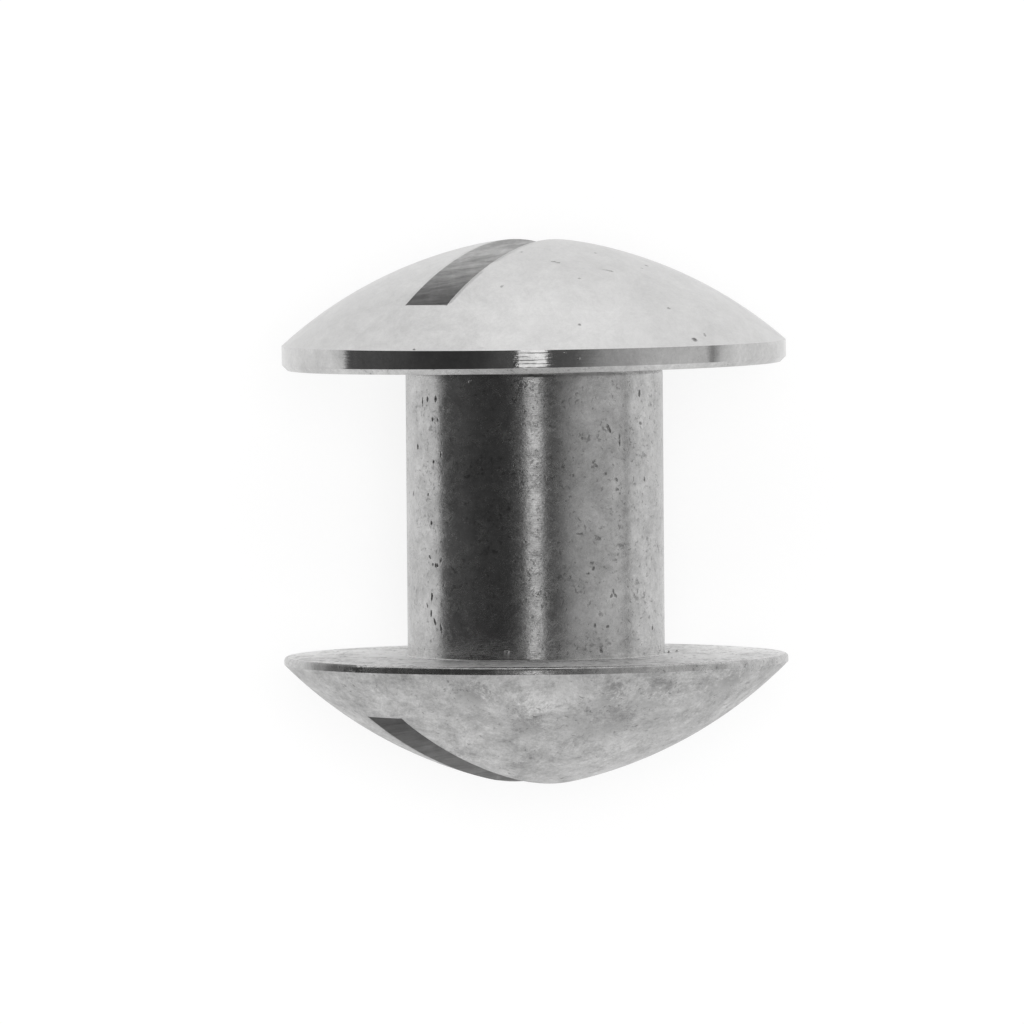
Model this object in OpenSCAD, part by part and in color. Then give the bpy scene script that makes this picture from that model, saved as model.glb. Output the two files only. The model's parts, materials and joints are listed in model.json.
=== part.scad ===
// Book screw: a two-piece binding post with domed, slotted heads.
// The post is a blind threaded barrel turned in one piece with its head, and the
// screw closes it. Both are modelled on one axis and then laid on their rims, with
// the axis along Y, the post towards -Y and the ground at Z = 0. Millimetres.

/* [Both heads] */
// Diameter of the heads, which is also what the screw lies on
head_d = 10.0; // [8:0.1:14]
// Gap between the heads, which is the thickest stack that the screw binds
grip = 5.74; // [4:0.02:20]
// Turn about the axis at which the screw has come to rest, in degrees
rest_turn = -1.3; // [-180:0.1:180]

/* [Barrel] */
// Outside diameter of the barrel, which fills the punched hole
barrel_d = 5.1; // [5:0.1:6.5]
// Rounding of the barrel's open end
barrel_end_r = 0.12; // [0.05:0.01:0.2]
// Fillet where the barrel meets its head
barrel_root_r = 0.12; // [0.03:0.01:0.2]

/* [Thread] */
// Nominal diameter of the thread
thread_d = 4.0; // [3:0.1:4.2]
// Pitch of the thread
thread_pitch = 0.7; // [0.5:0.05:0.8]
// Radial play between the two plain cylinders that stand for the thread
thread_play = 0.05; // [0.02:0.01:0.09]
// Solid wall left between the bore's full diameter and the head's inner face
bore_floor = 0.5; // [0.4:0.1:1]
// Chamfer at the mouth of the bore
bore_mouth = 0.15; // [0.05:0.05:0.2]
// Drill point angle at the bottom of the bore
drill_angle = 118; // [118:1:140]
// Free length left in the bore below the shank
shank_short = 0.5; // [0.2:0.1:1.5]
// Chamfer at the end of the shank
shank_end = 0.35; // [0.1:0.05:0.5]

/* [Post head] */
// Height of the post's head from the inner face to the top of its dome
post_head_h = 2.58; // [2.3:0.02:3.4]
// Height of the rim between the inner face and the dome
post_rim_h = 0.15; // [0.14:0.01:0.4]
// Rounding of the rim's inner edge
post_edge_r = 0.12; // [0.05:0.01:0.13]
// Radius of the dome's nose
post_nose_r = 3.6; // [3:0.1:5]
// Slope at which the nose passes into the flank, in degrees
post_nose_slope = 14; // [8:1:18]
// Width of the driver slot in the post
post_slot_w = 1.06; // [0.8:0.02:1.4]
// Depth of the post's slot below the top of the dome
post_slot_depth = 1.48; // [1:0.02:1.5]
// Turn of the post's slot about the axis, in degrees
post_slot_turn = -50; // [-180:1:180]

/* [Screw head] */
// Height of the screw's head from the inner face to the top of its dome
screw_head_h = 2.53; // [2.3:0.01:3.4]
// Height of the upright band round the rim
screw_band_h = 0.35; // [0.2:0.01:0.6]
// Bevel between the band and the inner face
screw_bevel = 0.11; // [0.05:0.01:0.2]
// Radius of the dome's nose
screw_nose_r = 5.7; // [4.5:0.1:7]
// Slope at which the nose passes into the flank, in degrees
screw_nose_slope = 13; // [6:1:15]
// Width of the driver slot in the screw
screw_slot_w = 0.96; // [0.8:0.02:1.4]
// Depth of the screw's slot below the top of the dome
screw_slot_depth = 1.2; // [1:0.02:1.6]
// Turn of the screw's slot about the axis, in degrees
screw_slot_turn = -32; // [-180:1:180]

/* [Hidden] */
$fn = 96;

head_r = head_d / 2;
barrel_r = barrel_d / 2;

// The thread is carried by its pitch cylinders, half the play either side.
thread_pitch_r = thread_d / 2 - 0.6495 * thread_pitch / 2;
bore_r = thread_pitch_r + thread_play / 2;
shank_r = thread_pitch_r - thread_play / 2;
drill_tip_h = bore_r / tan(drill_angle / 2);
shank_l = grip - bore_floor - shank_short;

post_dome_h = post_head_h - post_rim_h;
screw_dome_h = screw_head_h - screw_band_h - screw_bevel;

// How far a dome has dropped at the lip of its slot, the highest metal left.
post_lip_drop = post_nose_r - sqrt(pow(post_nose_r, 2) - pow(post_slot_w / 2, 2));
screw_lip_drop = screw_nose_r - sqrt(pow(screw_nose_r, 2) - pow(screw_slot_w / 2, 2));

// Ends of the closed screw along its axis, measured from the post's inner face.
post_reach = post_head_h - post_lip_drop;
screw_reach = grip + screw_head_h - screw_lip_drop;

// Lays a piece on its rims, centred on the origin along the axis.
module laid_down() {
    translate([0, (post_reach - screw_reach) / 2, head_r])
        rotate([-90, rest_turn, 0])
            children();
}

// Half outline of a dome that stands on its rim: a nose arc about the axis, and a
// flank arc that leaves the nose at the given slope and ends at the rim.
module dome_outline(height, nose_r, nose_slope) {
    nose_x = nose_r * sin(nose_slope);
    nose_drop = nose_r * (1 - cos(nose_slope));
    chord = norm([head_r - nose_x, height - nose_drop]);
    chord_slope = atan2(height - nose_drop, head_r - nose_x);
    flank_r = chord / (2 * sin(chord_slope - nose_slope));
    flank_x = nose_x - flank_r * sin(nose_slope);
    flank_y = height - nose_drop - flank_r * cos(nose_slope);
    intersection() {
        translate([0, height - nose_r]) circle(r = nose_r);
        square([nose_x, height]);
    }
    intersection() {
        translate([flank_x, flank_y]) circle(r = flank_r);
        translate([nose_x, 0]) square([head_r - nose_x, height]);
    }
}

// Driver slot across a head whose dome points along +Z, with its top at z = 0.
module driver_slot(width, depth, turn) {
    rotate([0, 0, turn])
        translate([-width / 2, -head_d, -depth])
            cube([width, 2 * head_d, 2 * depth]);
}

// Half outline of a plain turned length whose far corner is rounded.
module turned_length(r, length, corner_r) {
    square([r - corner_r, length]);
    square([r, length - corner_r]);
    translate([r - corner_r, length - corner_r]) circle(r = corner_r);
}

// Post: the head with the inner face at z = 0 and the barrel along +Z.
module post_outline() {
    translate([0, -post_rim_h]) mirror([0, 1])
        dome_outline(post_dome_h, post_nose_r, post_nose_slope);
    translate([0, -post_rim_h]) turned_length(head_r, post_rim_h, post_edge_r);
    turned_length(barrel_r, grip, barrel_end_r);
    difference() {
        square([barrel_r + barrel_root_r, barrel_root_r]);
        translate([barrel_r + barrel_root_r, barrel_root_r]) circle(r = barrel_root_r);
    }
}

module bore_outline() {
    polygon([
        [0, bore_floor - drill_tip_h],
        [bore_r, bore_floor],
        [bore_r, grip - bore_mouth],
        [bore_r + 2 * bore_mouth, grip + bore_mouth],
        [0, grip + bore_mouth]
    ]);
}

module post() {
    color("silver") laid_down() difference() {
        rotate_extrude() difference() {
            post_outline();
            bore_outline();
        }
        translate([0, 0, -post_head_h]) mirror([0, 0, 1])
            driver_slot(post_slot_w, post_slot_depth, post_slot_turn);
    }
}

// Screw: the head's inner face sits on the barrel's end at z = grip.
module screw_outline() {
    translate([0, grip]) {
        polygon([
            [0, 0],
            [head_r - screw_bevel, 0],
            [head_r, screw_bevel],
            [head_r, screw_bevel + screw_band_h],
            [0, screw_bevel + screw_band_h]
        ]);
        translate([0, screw_bevel + screw_band_h])
            dome_outline(screw_dome_h, screw_nose_r, screw_nose_slope);
    }
    polygon([
        [0, grip - shank_l],
        [shank_r - shank_end, grip - shank_l],
        [shank_r, grip - shank_l + shank_end],
        [shank_r, grip],
        [0, grip]
    ]);
}

module screw() {
    color("gainsboro") laid_down() difference() {
        rotate_extrude() screw_outline();
        translate([0, 0, grip + screw_head_h])
            driver_slot(screw_slot_w, screw_slot_depth, screw_slot_turn);
    }
}

post();
screw();
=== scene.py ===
"""Book screw: a blind threaded post and the screw that closes it, lying on their rims.

Lengths are in millimetres while a piece is turned on its axis, and each piece is then
laid in the frame in metres. A turned piece points along +z, away from the post's head.
"""
import json
import math

import bmesh
import bpy
from mathutils import Matrix, Vector, noise
from mathutils.bvhtree import BVHTree
from mathutils.kdtree import KDTree


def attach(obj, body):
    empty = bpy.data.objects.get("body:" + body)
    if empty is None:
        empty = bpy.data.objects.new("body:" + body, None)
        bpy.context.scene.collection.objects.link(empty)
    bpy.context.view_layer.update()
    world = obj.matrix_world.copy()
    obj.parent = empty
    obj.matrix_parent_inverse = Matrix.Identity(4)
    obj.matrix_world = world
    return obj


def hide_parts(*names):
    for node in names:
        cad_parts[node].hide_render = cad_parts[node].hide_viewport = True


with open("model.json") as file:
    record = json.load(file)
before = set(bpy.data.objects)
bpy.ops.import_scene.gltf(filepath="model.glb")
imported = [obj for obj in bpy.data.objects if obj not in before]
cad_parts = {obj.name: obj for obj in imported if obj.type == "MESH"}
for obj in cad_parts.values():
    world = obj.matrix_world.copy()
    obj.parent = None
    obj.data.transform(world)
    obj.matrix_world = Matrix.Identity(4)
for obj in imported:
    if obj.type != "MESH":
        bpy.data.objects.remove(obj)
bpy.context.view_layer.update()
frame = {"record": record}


# ---------------------------------------------------------------------------
# The post. A blind barrel turned in one piece with its domed head from bar stock,
# drilled and tapped M4, slotted with a saw and nickel plated. Its plating has
# tarnished to a mottled grey, and the barrel is polished but pitted.
# ---------------------------------------------------------------------------
HEAD_R = 5.0
POST_HEAD_H = 2.58
POST_RIM_H = 0.15
POST_NOSE_R = 3.6
POST_NOSE_SLOPE = math.radians(13.2)
POST_SLOT_W = 1.06
POST_SLOT_DEPTH = 1.48
POST_SLOT_TURN = math.radians(-51.3)

# Places in a piece's list of finishes. SIDE is the post's barrel or the screw's band,
# and the dirt that lies in the pits comes after all of them.
DOME, SLOT, SIDE, FACE, THREAD, RIM = range(6)

# A dome is meshed in slices that run along its slot: so many on each side of the slot,
# and so many across it. Each half of a slice has rows in the slot, and rows from the
# slot's mouth to the rim. The mouth is found by halving.
SIDE_SLICES = 66
SLOT_SLICES = 12
SLOT_ROWS = 30
SHOULDER_ROWS = 30
HALVINGS = 30


def ring_angles(slot_w):
    """Half turn of angles whose cosines include both walls of the slot and its middle."""
    wall = math.acos(slot_w / 2 / HEAD_R)
    side = [wall * i / SIDE_SLICES for i in range(SIDE_SLICES)]
    slot = [wall + (math.pi - 2 * wall) * i / SLOT_SLICES for i in range(SLOT_SLICES + 1)]
    return side + slot + [math.pi - a for a in reversed(side)]


def full_turn(angles):
    return angles + [2 * math.pi - a for a in reversed(angles[1:-1])]


def dome_height(height, nose_r, nose_slope):
    """Height of a dome above its rim at a radius: a nose arc, then a flank arc."""
    nose_x = nose_r * math.sin(nose_slope)
    nose_drop = nose_r * (1 - math.cos(nose_slope))
    chord = math.hypot(HEAD_R - nose_x, height - nose_drop)
    chord_slope = math.atan2(height - nose_drop, HEAD_R - nose_x)
    flank_r = chord / (2 * math.sin(chord_slope - nose_slope))
    flank_x = nose_x - flank_r * math.sin(nose_slope)
    flank_z = height - nose_drop - flank_r * math.cos(nose_slope)

    def at(r):
        if r <= nose_x:
            return height - nose_r + math.sqrt(nose_r ** 2 - r ** 2)
        return flank_z + math.sqrt(flank_r ** 2 - (r - flank_x) ** 2)
    return at


def slotted_dome(bm, angles, dome, top, slot_w, slot_depth, flip, off_axis=(0.0, 0.0)):
    """Dome with a saw slot along y, meshed in slices that run along the slot.

    Returns the ring of rim vertices in order of angle, and the edges to break.
    flip turns the dome to point along -z, top is the z of its apex, and off_axis is
    how far the form tool that cut it stood off the bar's axis."""
    half_w = slot_w / 2
    floor_h = dome(0) - slot_depth
    rows = SLOT_ROWS + SHOULDER_ROWS
    last = len(angles) - 1
    wall_a = SIDE_SLICES
    wall_b = last - SIDE_SLICES

    def height(u, v):
        return dome(math.hypot(u - off_axis[0], v - off_axis[1]))

    def place(u, v, h):
        away = h - dome(0)
        return bm.verts.new((u, v, top - away if flip else top + away))

    def mouth(u, side):
        """Share of a slice at which the slot's floor comes out of the dome."""
        u = max(-half_w, min(half_w, u))
        reach = side * math.sqrt(HEAD_R ** 2 - u ** 2)
        low = 0.0
        high = 1.0
        for _ in range(HALVINGS):
            middle = (low + high) / 2
            if height(u, middle * reach) > floor_h:
                low = middle
            else:
                high = middle
        return low

    surface = {}
    ground = {}
    for j, angle in enumerate(angles):
        u = HEAD_R * math.cos(angle)
        reach = HEAD_R * math.sin(angle)
        if j in (0, last):
            pole = place(u, 0, height(u, 0))
            for k in range(-rows, rows + 1):
                surface[j, k] = pole
            continue
        shares = {-1: mouth(u, -1), 1: mouth(u, 1)}
        for k in range(-rows, rows + 1):
            share = shares[1 if k > 0 else -1]
            if abs(k) <= SLOT_ROWS:
                t = share * abs(k) / SLOT_ROWS
            else:
                t = share + (1 - share) * (abs(k) - SLOT_ROWS) / SHOULDER_ROWS
            v = math.copysign(t * reach, k)
            cut = wall_a <= j <= wall_b and abs(k) < SLOT_ROWS
            if not cut or j in (wall_a, wall_b):
                surface[j, k] = place(u, v, height(u, v))
            if cut:
                ground[j, k] = place(u, v, floor_h)
            elif wall_a <= j <= wall_b and abs(k) == SLOT_ROWS:
                ground[j, k] = surface[j, k]

    sharp = []
    for j in range(last):
        for k in range(-rows, rows):
            cut = wall_a <= j < wall_b and -SLOT_ROWS <= k < SLOT_ROWS
            grid = ground if cut else surface
            corners = [grid[j, k], grid[j + 1, k], grid[j + 1, k + 1], grid[j, k + 1]]
            face = bm.faces.new(list(dict.fromkeys(corners)))
            face.material_index = SLOT if cut else DOME
    for j in (wall_a, wall_b):
        for k in range(-SLOT_ROWS, SLOT_ROWS):
            corners = [surface[j, k], surface[j, k + 1], ground[j, k + 1], ground[j, k]]
            face = bm.faces.new(list(dict.fromkeys(corners)))
            face.material_index = SLOT
            sharp.append(bm.edges.get((surface[j, k], surface[j, k + 1])))
    for j in range(wall_a, wall_b):
        for k in (-SLOT_ROWS, SLOT_ROWS):
            sharp.append(bm.edges.get((surface[j, k], surface[j + 1, k])))
    rim = [surface[j, rows] for j in range(last + 1)]
    rim += [surface[j, -rows] for j in range(last - 1, 0, -1)]
    return rim, sharp


bm = bmesh.new()
half_turn = ring_angles(POST_SLOT_W)
turn = full_turn(half_turn)
post_dome = dome_height(POST_HEAD_H - POST_RIM_H, POST_NOSE_R, POST_NOSE_SLOPE)
rim, sharp = slotted_dome(bm, half_turn, post_dome, -POST_HEAD_H,
                          POST_SLOT_W, POST_SLOT_DEPTH, flip=True)

# The rim, the flat inner face and the barrel. The barrel stops short of the screw's
# face by a hair, which shows as a dark line.
GRIP = 5.74
POST_EDGE_R = 0.07
BARREL_R = 2.55
BARREL_L = GRIP - 0.03
BARREL_ROOT_R = 0.03
BARREL_END_R = 0.12
BARREL_FOOT_R = BARREL_R + BARREL_ROOT_R
BARREL_FLAT_R = BARREL_R - BARREL_END_R
# Rows of a straight run lie no further apart than this, and an arc has so many.
ROW_STEP = 0.12
ARC_ROWS = 6


def join_rings(bm, ring, next_ring, finish):
    """Quads between two rings of as many vertices."""
    count = len(ring)
    for i in range(count):
        n = (i + 1) % count
        face = bm.faces.new((ring[i], ring[n], next_ring[n], next_ring[i]))
        face.material_index = finish


def turn_profile(bm, ring, turn, points, finish):
    """Turns a run of (radius, z) points, starting from a ring, and returns the last ring."""
    for r, z in points:
        if r == 0:
            tip = bm.verts.new((0, 0, z))
            for i in range(len(ring)):
                face = bm.faces.new((ring[i], ring[(i + 1) % len(ring)], tip))
                face.material_index = finish
            return None
        new = [bm.verts.new((r * math.cos(a), r * math.sin(a), z)) for a in turn]
        join_rings(bm, ring, new, finish)
        ring = new
    return ring


def line(start, end, step=ROW_STEP):
    """Points from start to end, without start, no further apart than a step."""
    count = math.ceil(math.dist(start, end) / step)
    return [(start[0] + (end[0] - start[0]) * i / count,
             start[1] + (end[1] - start[1]) * i / count) for i in range(1, count + 1)]


def arc(centre, r, start, end):
    """Points on an arc, in degrees, without its first point."""
    angles = [math.radians(start + (end - start) * i / ARC_ROWS)
              for i in range(1, ARC_ROWS + 1)]
    return [(centre[0] + r * math.cos(a), centre[1] + r * math.sin(a)) for a in angles]


ring = turn_profile(bm, rim, turn, line((HEAD_R, -POST_RIM_H), (HEAD_R, -POST_EDGE_R))
                    + arc((HEAD_R - POST_EDGE_R, -POST_EDGE_R), POST_EDGE_R, 0, 90), RIM)
ring = turn_profile(bm, ring, turn, line((HEAD_R - POST_EDGE_R, 0), (BARREL_FOOT_R, 0)), FACE)
ring = turn_profile(bm, ring, turn,
                    arc((BARREL_FOOT_R, BARREL_ROOT_R), BARREL_ROOT_R, 270, 180)
                    + line((BARREL_R, BARREL_ROOT_R), (BARREL_R, BARREL_L - BARREL_END_R))
                    + arc((BARREL_FLAT_R, BARREL_L - BARREL_END_R), BARREL_END_R, 0, 90), SIDE)

# The tapped bore. The tap can't reach the drill point, so the thread fades out before it.
THREAD_PITCH = 0.7
# A thread has so many rows a pitch. Its flank starts and ends at these shares of half a
# pitch from the middle of its ridge.
THREAD_ROWS = 10
FLANK_START = 0.18
FLANK_END = 0.80
NUT_CREST_R = 1.63
NUT_ROOT_R = 2.03
NUT_MOUTH_R = NUT_ROOT_R + 0.15
BORE_FLOOR = 0.5
BORE_PLAIN = BORE_FLOOR + 0.3
BORE_STEP = 0.1
TAP_REACH = BORE_FLOOR + 0.5
TAP_FADE = 0.5
DRILL_SLOPE = 1 / math.tan(math.radians(59))
DRILL_STEP = 0.15
TIP_RING_R = 0.2


def thread_share(z, angle, slack=0.0):
    """How far a right-hand thread reaches out at a place, as a share of its height."""
    phase = z / THREAD_PITCH - angle / (2 * math.pi)
    from_ridge = (abs((phase + 0.5) % 1 - 0.5) + slack) * 2
    return min(1, max(0, (FLANK_END - from_ridge) / (FLANK_END - FLANK_START)))


def turn_thread(bm, ring, turn, top, bottom, radius):
    """Turns a right-hand helical surface, down from a ring. Returns the last ring.

    radius(z, angle) gives the surface, and its rows of vertices follow the thread. Rows
    are held between the two ends, where their vertices meet and are merged later."""
    count = len(turn)
    rows = math.ceil((top - bottom) / THREAD_PITCH * THREAD_ROWS) + THREAD_ROWS
    grid = []
    for i in range(rows + 1):
        base = bottom + (i / THREAD_ROWS - 1) * THREAD_PITCH
        row = []
        for a in turn:
            z = min(top, max(bottom, base + THREAD_PITCH * a / (2 * math.pi)))
            r = radius(z, a)
            row.append(bm.verts.new((r * math.cos(a), r * math.sin(a), z)))
        grid.append(row)
    for i in range(rows):
        for n in range(count):
            if n + 1 < count:
                right = (grid[i][n + 1], grid[i + 1][n + 1])
            else:
                right = (grid[min(rows, i + THREAD_ROWS)][0],
                         grid[min(rows, i + 1 + THREAD_ROWS)][0])
            corners = (grid[i][n], right[0], right[1], grid[i + 1][n])
            if len(set(corners)) == 4:
                bm.faces.new(corners).material_index = THREAD
    join_rings(bm, ring, grid[rows], THREAD)
    return grid[0]


def nut_radius(z, angle):
    fade = min(1, max(0, (z - TAP_REACH) / TAP_FADE))
    share = thread_share(z, angle + POST_SLOT_TURN) * fade
    return max(NUT_CREST_R + (NUT_ROOT_R - NUT_CREST_R) * share, NUT_MOUTH_R - (BARREL_L - z))


ring = turn_profile(bm, ring, turn, line((BARREL_FLAT_R, BARREL_L), (NUT_MOUTH_R, BARREL_L)),
                    SIDE)
ring = turn_thread(bm, ring, turn, BARREL_L, BORE_PLAIN, nut_radius)
drill_tip = BORE_FLOOR - NUT_CREST_R * DRILL_SLOPE
turn_profile(bm, ring, turn,
             line((NUT_CREST_R, BORE_PLAIN), (NUT_CREST_R, BORE_FLOOR), BORE_STEP)
             + line((NUT_CREST_R, BORE_FLOOR),
                    (TIP_RING_R, drill_tip + TIP_RING_R * DRILL_SLOPE), DRILL_STEP)
             + [(0, drill_tip)], THREAD)

# The finishes, whose patterns are measured in millimetres from the middle of the axis.
MM = 0.001
WARMTH = 0.003
PIT_DEPTH = 0.0008
seats = {m["name"]: Vector(m["pos_m"]) / MM for m in frame["record"]["mounts"]}
seat_y = seats["stack_seat"].y
axis_height = seats["stack_seat"].z


class Nodes:
    """Short hand for wiring a node tree, which starts empty."""

    def __init__(self, tree):
        self.tree = tree
        tree.nodes.clear()

    def add(self, kind, **settings):
        node = self.tree.nodes.new(kind)
        for key, value in settings.items():
            setattr(node, key, value)
        return node

    def put(self, socket, value):
        if isinstance(value, bpy.types.NodeSocket):
            self.tree.links.new(value, socket)
        else:
            socket.default_value = value

    def math(self, operation, *values):
        node = self.add("ShaderNodeMath", operation=operation)
        for socket, value in zip(node.inputs, values):
            self.put(socket, value)
        return node.outputs[0]

    def vector(self, operation, *values):
        node = self.add("ShaderNodeVectorMath", operation=operation)
        for socket, value in zip(node.inputs, values):
            self.put(socket, value)
        return node.outputs["Value" if operation == "DISTANCE" else "Vector"]

    def ramp(self, value, low, high, to_low=0.0, to_high=1.0):
        node = self.add("ShaderNodeMapRange", interpolation_type="SMOOTHSTEP")
        for socket, given in zip(node.inputs, (value, low, high, to_low, to_high)):
            self.put(socket, given)
        return node.outputs[0]

    def mix(self, share, a, b):
        node = self.add("ShaderNodeMix", data_type="RGBA")
        self.put(node.inputs["Factor"], share)
        self.put(node.inputs["A"], a)
        self.put(node.inputs["B"], b)
        return node.outputs["Result"]

    def noise(self, place, scale, detail=2.0, roughness=0.5, distortion=0.0):
        """Noise of so many lumps a millimetre, running from about -0.5 to 0.5."""
        node = self.add("ShaderNodeTexNoise")
        for key, value in (("Vector", place), ("Scale", scale), ("Detail", detail),
                           ("Roughness", roughness), ("Distortion", distortion)):
            self.put(node.inputs[key], value)
        return self.math("SUBTRACT", node.outputs["Fac"], 0.5)

    def share(self, *terms):
        """1 plus each term, as a product: (noise, strength) pairs that vary a tone."""
        product = 1.0
        for value, strength in terms:
            factor = self.math("MULTIPLY_ADD", value, strength, 1.0)
            product = factor if product == 1.0 else self.math("MULTIPLY", product, factor)
        return product

    def metal(self, shade, roughness, height):
        """Bare metal of a grey shade, with a relief whose height is in millimetres."""
        colour = self.add("ShaderNodeCombineXYZ")
        for socket, warmth in zip(colour.inputs, (1 + WARMTH, 1.0, 1 - WARMTH)):
            self.put(socket, self.math("MULTIPLY", shade, warmth))
        bump = self.add("ShaderNodeBump")
        bump.inputs["Strength"].default_value = 1.0
        bump.inputs["Distance"].default_value = MM
        self.put(bump.inputs["Height"], height)
        shader = self.add("ShaderNodeBsdfPrincipled")
        shader.inputs["Metallic"].default_value = 1.0
        self.put(shader.inputs["Base Color"], colour.outputs[0])
        self.put(shader.inputs["Roughness"], roughness)
        self.put(shader.inputs["Normal"], bump.outputs[0])
        out = self.add("ShaderNodeOutputMaterial")
        self.put(out.inputs["Surface"], shader.outputs[0])


def new_finish(name):
    """A material, its empty node tree, the place on the piece in mm, and its x, y and z."""
    material = bpy.data.materials.new(name)
    material.use_nodes = True
    n = Nodes(material.node_tree)
    place = n.add("ShaderNodeTexCoord").outputs["Object"]
    mm = n.vector("MULTIPLY_ADD", place, (1 / MM,) * 3, (0.0, 0.0, -axis_height))
    split = n.add("ShaderNodeSeparateXYZ")
    n.put(split.inputs[0], mm)
    return material, n, mm, split.outputs


def plating(name, tone, roughness, mottle, pits=0.0, haze=0.0, relief=0.0, grooves=0.0,
            rings=0.0, hoops=None, stains_and_painted_light=(), drawn=(1.0, 1.0, 1.0)):
    """Nickel plating on turned steel.

    mottle is how much its tone clouds over, pits how much of it is etched, haze how much
    rougher its dull patches are, relief the height of its grain, grooves that of its turning
    marks, rings the strength of the lathe's rings on a face, and hoops the height and pitch of
    the tool's ridges round a band. Stains and painted light are (x, y, z, size, strength)
    spots, darker for a positive strength and lighter for a negative one; some are real stains,
    others painted shade and painted highlights. drawn is how close the clouds and specks lie
    along each axis.
    """
    material, n, mm, (across, along, up) = new_finish(name)
    cloudy = n.vector("MULTIPLY", mm, drawn)
    tarnish = n.noise(cloudy, 1.1, detail=6.0, roughness=0.95, distortion=0.2)
    terms = [(tarnish, mottle)]
    dull = n.noise(cloudy, 2.6, detail=5.0, roughness=0.9, distortion=0.4)
    roughness = n.math("ADD", roughness, n.math("MULTIPLY", n.ramp(dull, -0.04, 0.12), haze))
    height = n.math("MULTIPLY", n.noise(mm, 18.0, roughness=0.6), relief)
    if grooves:
        drawn_round = n.vector("MULTIPLY", mm, (0.5, 5.5, 0.5))
        groove = n.noise(drawn_round, 11.0, detail=1.0, roughness=0.6)
        height = n.math("MULTIPLY_ADD", groove, grooves, height)

    if pits:
        # Soft etched specks, and a few hair cracks where they crowd together.
        speck = n.noise(cloudy, 11.0, roughness=0.6, distortion=0.5)
        where = n.noise(cloudy, 1.7, roughness=0.6)
        speck = n.math("MULTIPLY_ADD", where, 0.35, speck)
        pit = n.ramp(speck, 0.13 - 0.06 * pits, 0.27 - 0.06 * pits)
        crack = n.math("ABSOLUTE", n.noise(cloudy, 3.6, roughness=0.55, distortion=1.2))
        crack = n.math("MULTIPLY", n.ramp(crack, 0.014, 0.002), n.ramp(where, 0.08, 0.2))
        pit = n.math("MAXIMUM", pit, n.math("MULTIPLY", crack, 0.6))
        terms.append((pit, -0.4))
        height = n.math("MULTIPLY_ADD", pit, -PIT_DEPTH, height)
    if rings:
        radius = n.math("SQRT", n.math("MULTIPLY_ADD", across, across,
                                       n.math("MULTIPLY", up, up)))
        ring = n.add("ShaderNodeCombineXYZ")
        n.put(ring.inputs[0], radius)
        terms.append((n.noise(ring.outputs[0], 14.0, detail=3.0, roughness=0.7), rings))
    if hoops:
        ridge_h, pitch = hoops
        ridge = n.math("SINE", n.math("MULTIPLY", along, 2 * math.pi / pitch))
        worn = n.ramp(n.noise(n.vector("MULTIPLY", mm, (1.0, 5.0, 1.0)), 3.0), -0.2, 0.1)
        height = n.math("MULTIPLY_ADD", n.math("MULTIPLY", ridge, worn), ridge_h, height)
    # Spots of real stain, and spots of painted shade and painted highlight, each darker or
    # lighter than the plating round it.
    if stains_and_painted_light:
        ragged = n.vector("MULTIPLY_ADD", tarnish, (2.0, 2.0, 2.0), mm)
        for x, y, z, size, strength in stains_and_painted_light:
            off = n.vector("DISTANCE", ragged, (x, y, z))
            terms.append((n.ramp(off, size, size * 0.3), -strength))

    n.metal(n.math("MULTIPLY", n.share(*terms), tone), roughness, height)
    return material


def sawn(name, floor_y, shaded_floor_tone, lip_y, lip_tone):
    """Bare steel left by the slotting saw, in strokes along the slot. Its tone goes from
    painted shade at the slot's floor up to its lip, darker the deeper it lies, and places are
    along the axis in mm."""
    material, n, mm, (across, along, up) = new_finish(name)
    stroked = n.add("ShaderNodeCombineXYZ")
    tilted = n.math("MULTIPLY_ADD", across, -0.1, along)
    n.put(stroked.inputs[0], n.math("MULTIPLY", across, 0.5))
    n.put(stroked.inputs[1], n.math("MULTIPLY", tilted, 9.0))
    n.put(stroked.inputs[2], n.math("MULTIPLY", up, 0.5))
    stroke = n.noise(stroked.outputs[0], 1.6, detail=5.0, roughness=0.75, distortion=0.3)
    smear = n.noise(mm, 3.0, detail=3.0, roughness=0.6)
    ragged = n.math("MULTIPLY_ADD", stroke, 0.35, along)
    # Painted shade: the tone darkens down the walls towards the slot's floor.
    tone = n.ramp(ragged, floor_y, lip_y, shaded_floor_tone, lip_tone)
    shade = n.math("MULTIPLY", tone, n.share((stroke, 1.4), (smear, 0.5)))
    n.metal(shade, 0.42, n.math("MULTIPLY", stroke, 0.01))
    return material


def dirty(name, tone):
    """Dull dirt and corrosion at the bottom of a pit."""
    material, n, mm, _ = new_finish(name)
    shade = n.math("MULTIPLY", n.share((n.noise(mm, 20.0), 1.2)), tone)
    n.metal(shade, 0.6, n.math("MULTIPLY", n.noise(mm, 30.0), 0.003))
    return material


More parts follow.
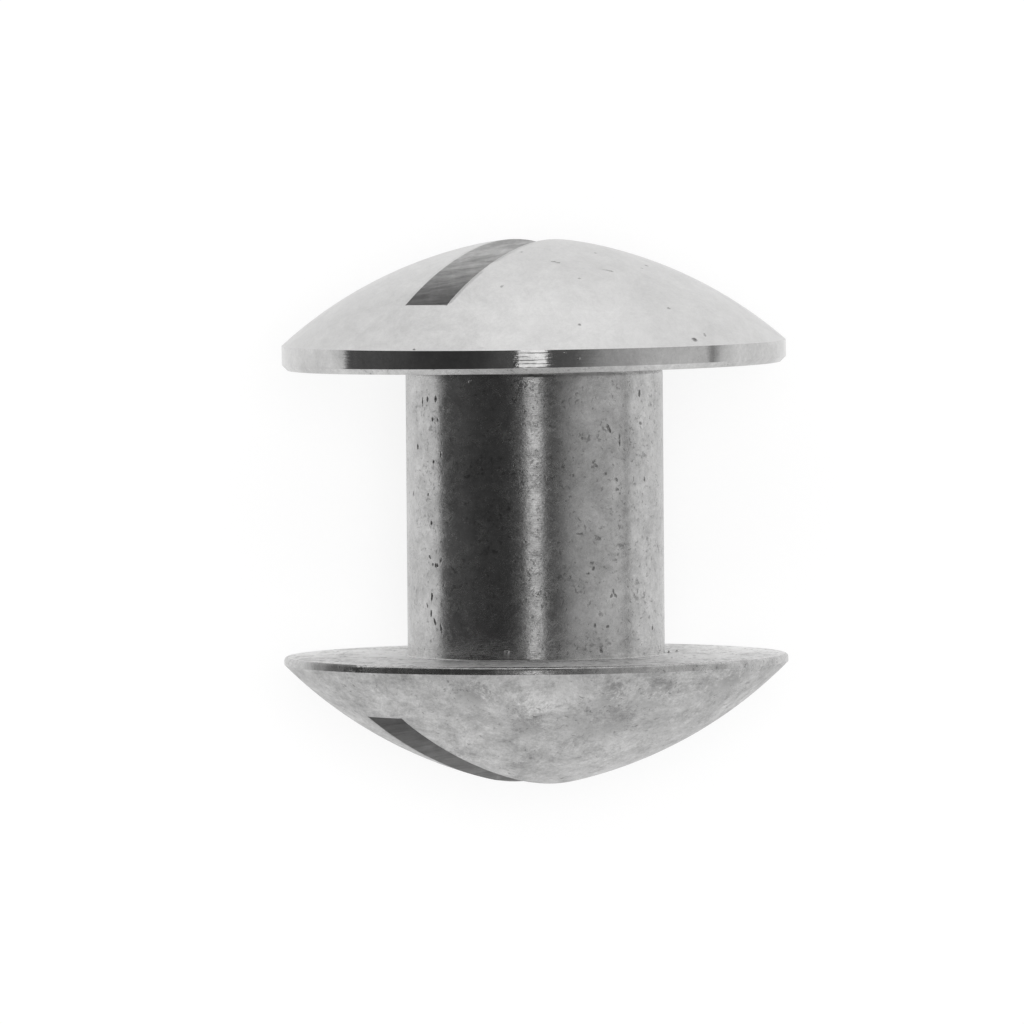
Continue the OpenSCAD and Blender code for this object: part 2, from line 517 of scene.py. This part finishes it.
DOME_STAINS = [
    (-1.16, -3.36, 4.46, 0.45, 0.22), (1.25, -3.91, 3.72, 0.9, 0.16),
    (2.29, -3.41, 3.94, 0.6, 0.16), (1.48, -3.43, 4.29, 0.35, 0.20),
    (-0.18, -4.08, 3.68, 0.45, 0.14), (0.17, -3.37, 4.61, 0.8, -0.16),
    (3.94, -3.13, 2.86, 0.5, 0.22), (-1.13, -4.64, 2.48, 0.8, -0.06),
    (3.24, -3.67, 2.75, 0.7, -0.08), (1.85, -4.42, 2.53, 0.9, -0.05),
    (3.1, -3.7, 2.9, 1.3, 0.10), (-2.6, -3.7, 3.2, 1.3, -0.06)]
# Painted dark reflection: two darker patches on the left of the post's rim stand in for the
# dark room that the rim mirrors there.
RIM_PAINTED_DARK_REFLECTION = [(-3.75, -2.97, 3.3, 0.9, 0.75), (-4.25, -2.97, 2.6, 0.8, 0.5)]
post_finishes = (
    plating("post_dome", 0.450, 0.38, 2.5, pits=0.2, haze=0.1, relief=0.002, rings=0.08,
            stains_and_painted_light=DOME_STAINS, drawn=(1.0, 1.0, 0.7)),
    sawn("post_slot_cut", -3.95, 0.15, -5.4, 0.315),
    plating("post_barrel", 0.49, 0.18, 1.7, pits=0.85, haze=0.10, relief=0.0013,
            grooves=0.0014),
    plating("post_face", 0.90, 0.50, 2.3, pits=1.0, haze=0.1, relief=0.002,
            drawn=(0.8, 1.0, 0.35)),
    plating("tapped_thread", 0.50, 0.24, 1.6, relief=0.001),
    plating("post_rim", 0.50, 0.22, 2.0, pits=0.4, haze=0.1, relief=0.001, grooves=0.0025,
            stains_and_painted_light=RIM_PAINTED_DARK_REFLECTION),
    dirty("post_dirt", 0.40))

# Pits and cracks in the plating from above: x, y, half length, half width, turn, depth.
POST_MARKS = [
    (-2.11, 2.28, 0.05, 0.03, 90, 0.02), (-1.95, 2.29, 0.06, 0.03, 60, 0.02),
    (-2.21, 2.24, 0.10, 0.02, 90, 0.012), (-2.01, 1.89, 0.04, 0.03, 0, 0.015),
    (-1.91, 1.88, 0.03, 0.025, 0, 0.015), (-2.31, 1.34, 0.05, 0.03, 90, 0.02),
    (-2.00, 1.05, 0.03, 0.03, 0, 0.015), (-1.85, 1.20, 0.04, 0.02, 90, 0.015),
    (-2.11, 0.39, 0.03, 0.03, 0, 0.015), (-2.40, 0.40, 0.05, 0.02, 110, 0.012),
    (-2.05, -0.16, 0.035, 0.03, 0, 0.02), (-1.95, -0.99, 0.06, 0.035, 0, 0.025),
    (-1.87, -0.90, 0.06, 0.020, 55, 0.01), (-2.03, -0.98, 0.05, 0.020, 0, 0.01),
    (-2.09, -0.83, 0.05, 0.02, -20, 0.012), (-2.05, -1.62, 0.08, 0.03, 85, 0.025),
    (-2.15, -1.78, 0.05, 0.020, -35, 0.012), (-2.07, -1.95, 0.07, 0.020, 90, 0.015),
    (-2.00, -2.10, 0.09, 0.020, -48, 0.015), (-1.87, -2.24, 0.09, 0.02, -68, 0.012),
    (1.46, 1.70, 0.085, 0.03, -55, 0.02), (1.67, 1.55, 0.06, 0.020, 88, 0.012),
    (1.67, 1.41, 0.07, 0.020, 85, 0.014), (1.76, 1.27, 0.04, 0.020, -40, 0.01),
    (2.07, 2.37, 0.06, 0.03, 85, 0.02), (2.09, 1.78, 0.05, 0.025, -10, 0.015),
    (2.16, 0.67, 0.06, 0.02, -60, 0.012), (1.16, 1.06, 0.06, 0.020, 30, 0.01),
    (1.20, 0.98, 0.05, 0.020, -40, 0.01), (1.13, 0.95, 0.05, 0.020, 0, 0.01),
    (1.39, 0.81, 0.045, 0.02, 10, 0.015), (1.61, 0.68, 0.045, 0.020, -25, 0.012),
    (1.61, 0.50, 0.05, 0.02, -10, 0.015), (0.74, 0.79, 0.03, 0.02, 30, 0.01),
    (0.93, 1.52, 0.03, 0.02, 0, 0.012), (0.87, -0.36, 0.07, 0.02, 5, 0.012),
    (1.23, -0.47, 0.08, 0.022, 0, 0.014), (1.66, -0.60, 0.10, 0.02, -8, 0.014),
    (1.10, -0.94, 0.05, 0.02, 10, 0.015), (1.13, -1.05, 0.035, 0.025, 60, 0.015),
    (1.02, -1.15, 0.04, 0.02, 15, 0.015), (1.52, -1.50, 0.05, 0.020, -65, 0.014),
    (1.56, -1.59, 0.05, 0.020, -35, 0.012), (1.49, -1.60, 0.04, 0.020, 35, 0.012),
    (1.40, -2.20, 0.03, 0.03, 0, 0.015), (1.15, -2.18, 0.04, 0.035, 90, 0.012),
    (2.30, -2.29, 0.035, 0.03, 90, 0.035), (1.27, -2.68, 0.06, 0.03, -45, 0.015),
    (-1.27, 2.66, 0.045, 0.03, 20, -0.02), (-0.58, -2.69, 0.06, 0.05, -40, -0.03),
    (2.35, -3.98, 0.07, 0.02, 10, 0.01)]
# Grit on the flat face at the barrel's foot: x, height over the axis, and then the same.
GRIT = [(2.64, -0.40, 0.035, 0.03, 0, -0.05), (2.80, -0.86, 0.035, 0.03, 0, -0.05),
        (2.68, 1.82, 0.03, 0.03, 0, -0.03)]
# A mark is aimed down from a height over the piece, or along the axis to the post's head.
AIM_HEIGHT = 20
DOWN = Vector((0, 0, -1))
HEADWARD = Vector((0, -1, 0))

# The patch round a mark: how far it goes past the mark, how nearly its faces turn the
# same way, how long an edge has to be to be cut, and how often it is cut.
PATCH_MARGIN = 0.07
PATCH_FACING = 0.5
PATCH_EDGE = 0.03
PATCH_CUTS = 5

# A mark's outline is ragged by noise of so many lumps a millimetre, and may reach past
# its size. Dirt lies where it is pressed in by more than a share of its depth.
MARK_RAGGED = 0.8
MARK_LUMPS = 22
MARK_REACH = 1.2
MARK_FACING = 0.3
DIRT_SHARE = 0.25

LIP_BREAK = 0.025
LIP_ROWS = 3
MERGE_GAP = 1e-5
CRISP_ANGLE = math.radians(35)


def vertex_tree(bm):
    """The vertices, and a tree that finds those near a place."""
    verts = list(bm.verts)
    tree = KDTree(len(verts))
    for i, vert in enumerate(verts):
        tree.insert(vert.co, i)
    tree.balance()
    return verts, tree


def press_marks(bm, marks, toward, dirt):
    """Meshes a small patch finely round each mark, and presses the marks into them.

    A mark lies where a line through its first two numbers meets the piece: x and y for
    a line down, x and height for a line towards the post's head. Length and width are
    half sizes, turn is in degrees from x, and a negative depth raises a burr."""
    bm.normal_update()
    surface = BVHTree.FromBMesh(bm)
    verts, tree = vertex_tree(bm)
    placed = []
    coarse = set()
    for a, b, length, width, turn, depth in marks:
        swing = math.radians(turn)
        if toward == DOWN:
            start = Vector((a, b, AIM_HEIGHT))
            along = Vector((math.cos(swing), math.sin(swing), 0))
        else:
            start = Vector((a, 0, b + axis_height))
            along = Vector((math.cos(swing), 0, math.sin(swing)))
        centre, normal = surface.ray_cast(start, toward)[:2]
        along = (along - normal * along.dot(normal)).normalized()
        placed.append((centre, normal, along, length, width, depth))
        for _, i, _ in tree.find_range(centre, max(length, width) + PATCH_MARGIN):
            for face in verts[i].link_faces:
                if face.normal.dot(normal) > PATCH_FACING:
                    coarse.update(e for e in face.edges if e.calc_length() > PATCH_EDGE
                                  and all(f.material_index != SLOT for f in e.link_faces))
    bmesh.ops.subdivide_edges(bm, edges=list(coarse), cuts=PATCH_CUTS, use_grid_fill=True)
    bm.normal_update()
    verts, tree = vertex_tree(bm)
    for centre, normal, along, length, width, depth in placed:
        across = normal.cross(along)
        for _, i, _ in tree.find_range(centre, max(length, width) * MARK_REACH):
            vert = verts[i]
            away = vert.co - centre
            inside = 1 - (away.dot(along) / length) ** 2 - (away.dot(across) / width) ** 2
            inside += MARK_RAGGED * noise.noise(vert.co * MARK_LUMPS)
            if inside > 0 and vert.normal.dot(normal) > MARK_FACING:
                vert.co -= normal * depth * inside
                if depth > 0 and inside > DIRT_SHARE:
                    for face in vert.link_faces:
                        face.material_index = dirt


def place_object(name, data):
    thing = bpy.data.objects.new(name, data)
    bpy.context.collection.objects.link(thing)
    return thing


def finish_turning(name, bm, sharp, slot_turn, finishes, marks, face_marks=(), lean=0.0):
    """Breaks the sharp edges, lays the piece on its rims in metres and makes its object."""
    bmesh.ops.bevel(bm, geom=sharp, offset=LIP_BREAK, offset_type="OFFSET",
                    segments=LIP_ROWS, profile=0.5, affect="EDGES", clamp_overlap=False,
                    material=-1)
    bmesh.ops.remove_doubles(bm, verts=bm.verts, dist=MERGE_GAP)
    bmesh.ops.recalc_face_normals(bm, faces=bm.faces)
    for edge in bm.edges:
        if all(face.material_index != SLOT for face in edge.link_faces):
            edge.smooth = edge.calc_face_angle(0) < CRISP_ANGLE
    pivot = Matrix.Translation((0, GRIP, 0))
    laid = (Matrix.Translation((0, seat_y, axis_height))
            @ pivot @ Matrix.Rotation(math.radians(lean), 4, "Z") @ pivot.inverted()
            @ Matrix.Rotation(-math.pi / 2, 4, "X") @ Matrix.Rotation(slot_turn, 4, "Z"))
    bm.transform(laid)
    press_marks(bm, marks, DOWN, len(finishes) - 1)
    press_marks(bm, face_marks, HEADWARD, len(finishes) - 1)
    bm.transform(Matrix.Scale(MM, 4))
    for face in bm.faces:
        face.smooth = True
    mesh = bpy.data.meshes.new(name)
    bm.to_mesh(mesh)
    bm.free()
    for finish in finishes:
        mesh.materials.append(finish)
    return place_object(name, mesh)


post = finish_turning("post_turned", bm, sharp, POST_SLOT_TURN, post_finishes,
                      POST_MARKS, GRIT)
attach(post, "post")
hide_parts("post")


# ---------------------------------------------------------------------------
# The screw. Turned from the same bar with a flatter dome, an upright band round its
# rim and a bevel under it, rolled with an M4 thread, slotted and nickel plated. Its
# plating is still bright, and it sits a little askew in its thread.
# ---------------------------------------------------------------------------
SCREW_HEAD_H = 2.53
SCREW_BAND_H = 0.35
SCREW_BEVEL = 0.11
SCREW_NOSE_R = 5.7
SCREW_NOSE_SLOPE = math.radians(13)
SCREW_DOME_OFF = -0.03
SCREW_SLOT_W = 0.96
SCREW_SLOT_DEPTH = 1.20
SCREW_SLOT_TURN = math.radians(-33.3)
SCREW_LEAN = 0.65
BEVEL_TOP = GRIP + SCREW_BEVEL
BAND_TOP = BEVEL_TOP + SCREW_BAND_H
BAND_STEP = 0.07

bm = bmesh.new()
half_turn = ring_angles(SCREW_SLOT_W)
turn = full_turn(half_turn)
screw_dome = dome_height(SCREW_HEAD_H - SCREW_BAND_H - SCREW_BEVEL,
                         SCREW_NOSE_R, SCREW_NOSE_SLOPE)
off_axis = (SCREW_DOME_OFF * math.cos(SCREW_SLOT_TURN),
            -SCREW_DOME_OFF * math.sin(SCREW_SLOT_TURN))
rim, sharp = slotted_dome(bm, half_turn, screw_dome, GRIP + SCREW_HEAD_H,
                          SCREW_SLOT_W, SCREW_SLOT_DEPTH, flip=False, off_axis=off_axis)
ring = turn_profile(bm, rim, turn, line((HEAD_R, BAND_TOP), (HEAD_R, BEVEL_TOP), BAND_STEP),
                    SIDE)

# The bevel, the flat inner face and the shank. Its thread is rolled up to a plain neck
# under the head, a little slack in the nut, and its end is chamfered.
NECK_END = GRIP - 0.15
THREAD_START = GRIP - 0.2
ROLL_REACH = GRIP - 0.4
ROLL_FADE = 0.4
SHANK_CREST_R = 1.97
SHANK_ROOT_R = 1.56
SHANK_TIP = BORE_FLOOR + 0.5
SHANK_TIP_R = SHANK_CREST_R - 0.45
TIP_STEP = 0.2
THREAD_SLACK = 0.03


def shank_radius(z, angle):
    fade = min(1, max(0, (ROLL_REACH - z) / ROLL_FADE))
    share = thread_share(z, angle + SCREW_SLOT_TURN, THREAD_SLACK) * fade
    return min(SHANK_ROOT_R + (SHANK_CREST_R - SHANK_ROOT_R) * share,
               SHANK_TIP_R + z - SHANK_TIP)


ring = turn_profile(bm, ring, turn,
                    line((HEAD_R, BEVEL_TOP), (HEAD_R - SCREW_BEVEL, GRIP), BAND_STEP)
                    + line((HEAD_R - SCREW_BEVEL, GRIP), (SHANK_ROOT_R, GRIP))
                    + line((SHANK_ROOT_R, GRIP), (SHANK_ROOT_R, NECK_END)), FACE)
ring = turn_thread(bm, ring, turn, THREAD_START, SHANK_TIP, shank_radius)
turn_profile(bm, ring, turn,
             line((SHANK_TIP_R, SHANK_TIP), (TIP_RING_R, SHANK_TIP), TIP_STEP)
             + [(0, SHANK_TIP)], THREAD)

HOOP_H = 0.0008
HOOP_PITCH = 0.07
screw_finishes = (
    plating("screw_dome", 0.65, 0.28, 0.6, haze=0.03, relief=0.0008, rings=0.05,
            # The first spot is a broad painted reflection that lightens the dome, and the
            # second is painted shade over its left side.
            stains_and_painted_light=[(0.4, 3.2, 5.0, 3.4, -0.11), (-4.4, 3.6, 2.2, 3.0, 0.06)],
            drawn=(1.0, 1.0, 0.7)),
    sawn("screw_slot_cut", 4.2, 0.17, 5.3, 0.58),
    plating("screw_band", 0.585, 0.07, 1.0, relief=0.0004, hoops=(HOOP_H, HOOP_PITCH)),
    plating("screw_face", 0.55, 0.20, 1.5, pits=0.3, relief=0.0015),
    plating("rolled_thread", 0.60, 0.20, 1.4, relief=0.001),
    dirty("screw_dirt", 0.52))

SCREW_MARKS = [
    (0.39, 5.00, 0.05, 0.022, -35, 0.015), (0.47, 4.98, 0.06, 0.020, 2, 0.008),
    (-0.24, 5.18, 0.025, 0.022, 0, 0.012), (1.46, 4.82, 0.13, 0.020, 2, 0.009),
    (2.24, 4.88, 0.040, 0.028, 0, 0.015), (2.14, 4.84, 0.030, 0.020, 0, 0.010),
    (0.89, 4.68, 0.025, 0.020, 0, 0.010), (1.23, 5.14, 0.025, 0.020, 0, 0.010),
    (2.65, 4.09, 0.030, 0.030, 0, 0.012), (0.89, 3.82, 0.035, 0.020, 80, 0.010),
    (-0.93, 4.91, 0.050, 0.022, 0, 0.015), (-0.62, 4.55, 0.035, 0.022, 80, 0.006),
    (3.14, 3.49, 0.060, 0.050, 0, 0.030), (3.35, 3.57, 0.060, 0.025, 70, 0.008),
    (-2.34, 3.37, 0.050, 0.030, 0, -0.012), (-1.01, 3.40, 0.040, 0.025, 0, -0.008),
    (-0.37, 3.07, 0.050, 0.020, 60, -0.008), (0.60, 3.29, 0.020, 0.020, 0, -0.006),
    (0.87, 3.17, 0.025, 0.020, 30, -0.006)]

screw = finish_turning("screw_turned", bm, sharp, SCREW_SLOT_TURN, screw_finishes,
                       SCREW_MARKS, lean=SCREW_LEAN)
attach(screw, "screw")
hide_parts("screw")


# ---------------------------------------------------------------------------
# The table. White and matt, and it fills the view. The polished barrel mirrors it too,
# bright beside the object and darker further off.
# ---------------------------------------------------------------------------
TABLE_HALF = 0.6
TABLE_GLOW = 0.80
TABLE_PAINT = (0.22, 0.22, 0.22, 1.0)
MIRRORED_GLOW = 0.28
MIRRORED_PAINT = (0.64, 0.64, 0.64, 1.0)
BLACK = (0.0, 0.0, 0.0, 1.0)
# How bright the table is in the metal, by metres from the object, from left to right.
MIRRORED = [(-0.190, 0.12), (-0.115, 0.14), (-0.087, 0.30), (-0.062, 0.80), (-0.042, 0.86),
            (-0.010, 1.0), (0.018, 1.0), (0.041, 0.95), (0.063, 0.83), (0.124, 0.65),
            (0.190, 0.55)]
MIRRORED_SPAN = 0.2


def grey(value, warmth=WARMTH):
    return (value * (1 + warmth), value, value * (1 - warmth), 1.0)


def level_ramp(n, value, span, levels, warmth=0.0):
    """Grey levels along a value that runs from -span to span, by (value, level) stops."""
    ramp = n.add("ShaderNodeValToRGB")
    stops = ramp.color_ramp.elements
    while len(stops) < len(levels):
        stops.new(0.5)
    for stop, (at, level) in zip(stops, levels):
        stop.position = 0.5 + at / (2 * span)
        stop.color = grey(level, warmth)
    n.put(ramp.inputs["Fac"], n.math("MULTIPLY_ADD", value, 0.5 / span, 0.5))
    return ramp.outputs["Color"]


def glowing_paint(n, glow, paint):
    light = n.add("ShaderNodeEmission")
    n.put(light.inputs["Strength"], glow)
    matt = n.add("ShaderNodeBsdfDiffuse")
    n.put(matt.inputs["Color"], paint)
    both = n.add("ShaderNodeAddShader")
    n.put(both.inputs[0], light.outputs[0])
    n.put(both.inputs[1], matt.outputs[0])
    return both.outputs[0]


table_material = bpy.data.materials.new("white_table")
table_material.use_nodes = True
n = Nodes(table_material.node_tree)
sideways = n.add("ShaderNodeSeparateXYZ")
n.put(sideways.inputs[0], n.add("ShaderNodeTexCoord").outputs["Object"])
level = level_ramp(n, sideways.outputs[0], MIRRORED_SPAN, MIRRORED)
choice = n.add("ShaderNodeMixShader")
n.put(choice.inputs[0], n.add("ShaderNodeLightPath").outputs["Is Glossy Ray"])
n.put(choice.inputs[1], glowing_paint(n, TABLE_GLOW, TABLE_PAINT))
n.put(choice.inputs[2], glowing_paint(n, n.math("MULTIPLY", level, MIRRORED_GLOW),
                                      n.mix(level, BLACK, MIRRORED_PAINT)))
n.put(n.add("ShaderNodeOutputMaterial").inputs["Surface"], choice.outputs[0])

table_mesh = bpy.data.meshes.new("floor")
table_mesh.from_pydata([(-TABLE_HALF, -TABLE_HALF, 0), (TABLE_HALF, -TABLE_HALF, 0),
                        (TABLE_HALF, TABLE_HALF, 0), (-TABLE_HALF, TABLE_HALF, 0)],
                       [], [(0, 1, 2, 3)])
table_mesh.materials.append(table_material)
place_object("floor", table_mesh)


# ---------------------------------------------------------------------------
# The room. Plain, with a strip lamp overhead, a dark wall on one side and a grey one on
# the other. The polished metal shows them as stripes, and the camera sees white.
# ---------------------------------------------------------------------------
# Degrees from overhead towards +X, and the brightness that the room has there.
ROOM = [(-180, 0.9), (-96, 0.5), (-93, 0.14), (-88, 0.096), (-74, 0.087), (-62, 0.070),
        (-52, 0.052), (-40, 0.046), (-24, 0.050), (-18, 0.080), (-10, 0.10), (10, 0.10),
        (18, 0.12), (24, 0.21), (30, 0.34), (36, 0.43), (42, 0.49), (52, 0.57), (64, 0.61),
        (78, 0.70), (86, 0.66), (89, 0.32), (91, 0.30), (94, 0.60), (180, 0.9)]
ROOM_SPAN = 180
# How far along the axis a direction points where the room passes into its end walls.
CORNER_FROM = 0.75
CORNER_TO = 0.92
END_LEVEL = 0.92
STRIP_MIDDLE = -0.6
STRIP_HALF_ANGLE = 6.4
STRIP_BLUR = 1.2
STRIP_END = 0.12
STRIP_END_BLUR = 0.05
STRIP_LEVEL = 1.2
PLAIN_LEVEL = 0.75
WHITE = (1.0, 1.0, 1.0, 1.0)

world = bpy.data.worlds.new("studio")
bpy.context.scene.world = world
world.use_nodes = True
n = Nodes(world.node_tree)
toward = n.add("ShaderNodeSeparateXYZ")
n.put(toward.inputs[0], n.add("ShaderNodeTexCoord").outputs["Generated"])
angle = n.math("DEGREES", n.math("ARCTAN2", toward.outputs[0], toward.outputs[2]))
endwise = n.math("ABSOLUTE", toward.outputs[1])
room = n.mix(n.ramp(endwise, CORNER_FROM, CORNER_TO),
             level_ramp(n, angle, ROOM_SPAN, ROOM, WARMTH), grey(END_LEVEL))
from_strip = n.math("ABSOLUTE", n.math("SUBTRACT", angle, STRIP_MIDDLE))
strip = n.math("MULTIPLY",
               n.ramp(from_strip, STRIP_HALF_ANGLE + STRIP_BLUR, STRIP_HALF_ANGLE - STRIP_BLUR),
               n.ramp(endwise, STRIP_END + STRIP_END_BLUR, STRIP_END - STRIP_END_BLUR))
room = n.mix(strip, room, grey(STRIP_LEVEL))
rays = n.add("ShaderNodeLightPath")
seen = n.mix(rays.outputs["Is Glossy Ray"], grey(PLAIN_LEVEL), room)
seen = n.mix(rays.outputs["Is Camera Ray"], seen, WHITE)
background = n.add("ShaderNodeBackground")
n.put(background.inputs["Color"], seen)
n.put(n.add("ShaderNodeOutputWorld").inputs["Surface"], background.outputs[0])

LAMP_SIZE = 0.12
LAMP_WATTS = 0.5
LAMP_PLACE = Vector((0.02, 0.03, 0.4))

lamp_data = bpy.data.lights.new("overhead_lamp", "AREA")
lamp_data.shape = "SQUARE"
lamp_data.size = LAMP_SIZE
lamp_data.energy = LAMP_WATTS
lamp = place_object("overhead_lamp", lamp_data)
lamp.location = LAMP_PLACE
lamp.rotation_euler = (-LAMP_PLACE).to_track_quat("-Z", "Y").to_euler()
lamp.visible_glossy = False


# ---------------------------------------------------------------------------
# The camera. It looks down on the screw through a long lens, with the screw's head at
# the top of the picture.
# ---------------------------------------------------------------------------
CAMERA_LENS = 589.0
CAMERA_SENSOR = 36.0
CAMERA_CLIP = (0.01, 2.0)
CAMERA_DISTANCE = 0.3323
CAMERA_TILT = math.radians(2.316)
CAMERA_ROLL = math.radians(-0.45)
CAMERA_AIM = Vector((-0.00046, -0.000016, 0.005))

camera_data = bpy.data.cameras.new("camera")
camera_data.lens = CAMERA_LENS
camera_data.sensor_width = CAMERA_SENSOR
camera_data.clip_start, camera_data.clip_end = CAMERA_CLIP
camera = place_object("camera", camera_data)
back = Vector((0, math.sin(CAMERA_TILT), math.cos(CAMERA_TILT)))
upward = Vector((0, math.cos(CAMERA_TILT), -math.sin(CAMERA_TILT)))
facing = Matrix((upward.cross(back), upward, back)).transposed()
camera.matrix_world = (Matrix.Translation(CAMERA_AIM + back * CAMERA_DISTANCE)
                       @ (facing @ Matrix.Rotation(CAMERA_ROLL, 3, "Z")).to_4x4())
bpy.context.scene.camera = camera
bpy.context.scene.view_settings.view_transform = "Standard"
